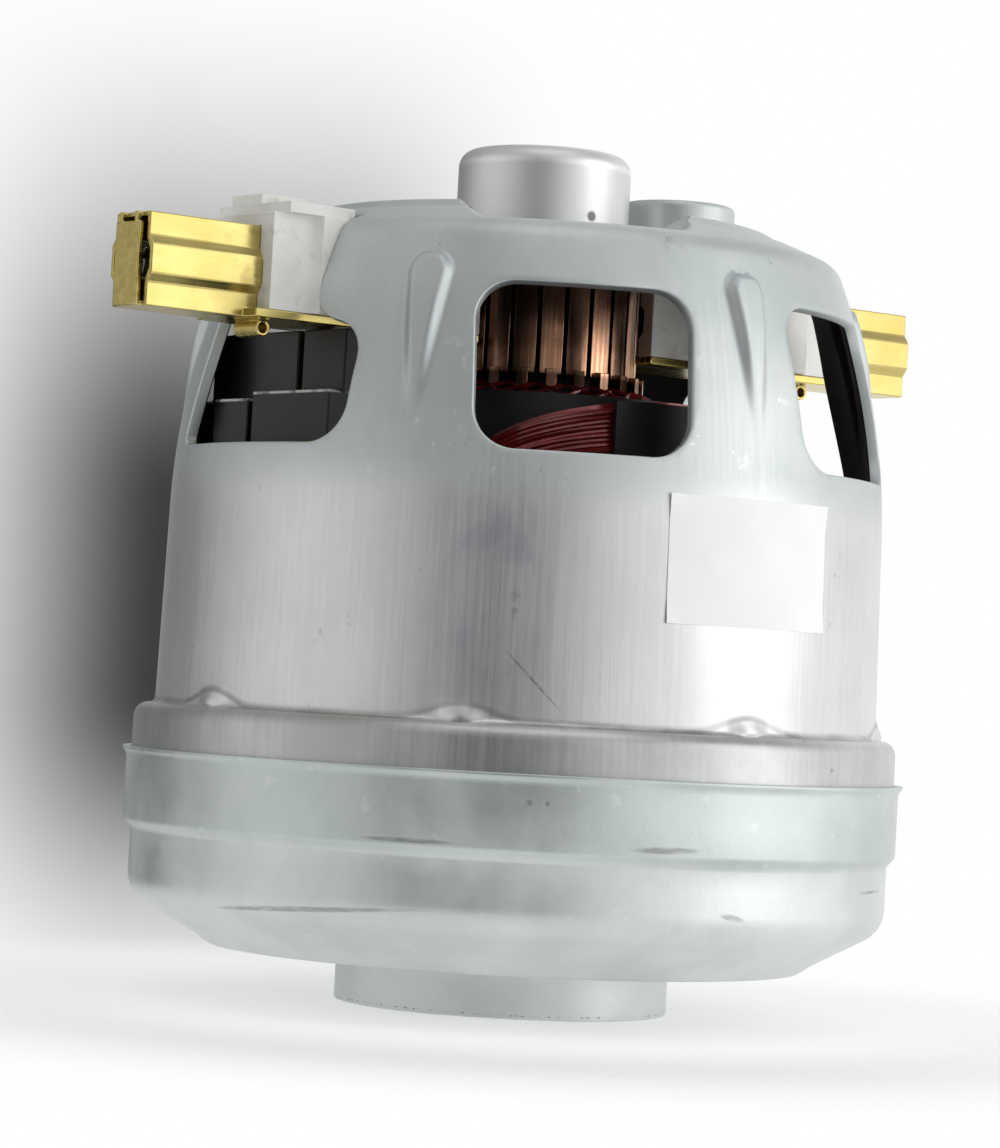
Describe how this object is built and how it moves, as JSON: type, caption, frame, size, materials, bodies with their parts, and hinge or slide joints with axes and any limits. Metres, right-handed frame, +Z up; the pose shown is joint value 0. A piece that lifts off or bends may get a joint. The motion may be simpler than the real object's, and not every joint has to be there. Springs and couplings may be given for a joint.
{
  "type": "vacuum motor unit",
  "caption": "Through-flow vacuum cleaner motor: drawn windowed housing, pressed fan cover with inlet neck, brush gear on both sides, and an armature and fan on one shaft.",
  "frame": {"origin": "on the shaft axis, at the rim of the inlet neck, which is the lowest edge", "axes": "+Z up along the shaft towards the upper bearing cup, +X along the brush axis towards the round boss, -Y towards the label"},
  "size_m": [0.1306, 0.103, 0.113],
  "materials": {
    "housing_aluminium": "deep drawn sheet, matt with drawing streaks",
    "cover_enamel": "pressed sheet with a pale grey-green finish, lightly scuffed",
    "label_paper": "bare white sticker",
    "lamination_steel": "stacked electrical sheet",
    "coil_wire": "enamelled copper wire, dark red",
    "black_plastic": "moulded, fine texture",
    "white_plastic": "moulded, off-white",
    "brass_sheet": "bright rolled sheet",
    "carbon": "pressed graphite",
    "spring_steel": "drawn spring wire and sheet",
    "screw_steel": "zinc plated",
    "bracket_aluminium": "die cast",
    "seal_rubber": "moulded ring",
    "bearing_steel": "ground and polished",
    "cage_plastic": "moulded polyamide",
    "shaft_steel": "ground",
    "commutator_copper": "turned copper with brown patina",
    "hub_resin": "moulded phenolic resin",
    "fan_aluminium": "pressed sheet"
  },
  "bodies": {
    "motor": {"motor_housing": "housing_aluminium", "fan_cover": "cover_enamel", "label": "label_paper", "stator_core": "lamination_steel", "field_coil_front": "coil_wire", "field_coil_rear": "coil_wire", "bobbin_front": "black_plastic", "bobbin_rear": "black_plastic", "terminal_block": "black_plastic", "supply_terminals": "brass_sheet", "brush_holder_left": "white_plastic", "brush_holder_right": "white_plastic", "brush_tube_left": "brass_sheet", "brush_tube_right": "brass_sheet", "brush_spring_left": "spring_steel", "brush_spring_right": "spring_steel", "stator_screws": "screw_steel", "bearing_bracket": "bracket_aluminium", "diffuser": "black_plastic", "inlet_seal": "seal_rubber", "preload_washer": "spring_steel", "upper_bearing_outer": "bearing_steel", "upper_bearing_shields": "bearing_steel", "lower_bearing_outer": "bearing_steel", "lower_bearing_shields": "bearing_steel"},
    "rotor": {"shaft": "shaft_steel", "upper_collar": "shaft_steel", "lower_collar": "shaft_steel", "armature_core": "lamination_steel", "armature_end_discs": "hub_resin", "armature_winding": "coil_wire", "commutator_bars": "commutator_copper", "commutator_hub": "hub_resin", "upper_bearing_inner": "bearing_steel", "lower_bearing_inner": "bearing_steel", "fan_spacer": "shaft_steel", "impeller_back_plate": "fan_aluminium", "impeller_front_plate": "fan_aluminium", "impeller_blades": "fan_aluminium", "fan_washer": "screw_steel", "fan_nut": "screw_steel"},
    "upper_ball_set": {"upper_bearing_balls": "bearing_steel", "upper_bearing_cage": "cage_plastic"},
    "lower_ball_set": {"lower_bearing_balls": "bearing_steel", "lower_bearing_cage": "cage_plastic"},
    "brush_left": {"carbon_brush_left": "carbon"},
    "brush_right": {"carbon_brush_right": "carbon"}
  },
  "joints": [
    {"name": "rotor_spin", "type": "hinge", "parent": "motor", "child": "rotor", "pos_m": [0, 0, 0.06], "axis": [0, 0, 1], "continuous": true},
    {"name": "upper_balls_spin", "type": "hinge", "parent": "motor", "child": "upper_ball_set", "pos_m": [0, 0, 0.1078], "axis": [0, 0, 1], "continuous": true},
    {"name": "lower_balls_spin", "type": "hinge", "parent": "motor", "child": "lower_ball_set", "pos_m": [0, 0, 0.0305], "axis": [0, 0, 1], "continuous": true},
    {"name": "brush_left_slide", "type": "slide", "parent": "motor", "child": "brush_left", "axis": [-1, 0, 0], "range_m": [0, 0.006], "stiffness_N_per_m": 150, "springref_m": -0.01, "deforming": ["brush_spring_left"]},
    {"name": "brush_right_slide", "type": "slide", "parent": "motor", "child": "brush_right", "axis": [1, 0, 0], "range_m": [0, 0.006], "stiffness_N_per_m": 150, "springref_m": -0.01, "deforming": ["brush_spring_right"]}
  ],
  "couplings": [
    {"joint": "upper_balls_spin", "follows": "rotor_spin", "ratio": 0.3777},
    {"joint": "lower_balls_spin", "follows": "rotor_spin", "ratio": 0.3763}
  ]
}
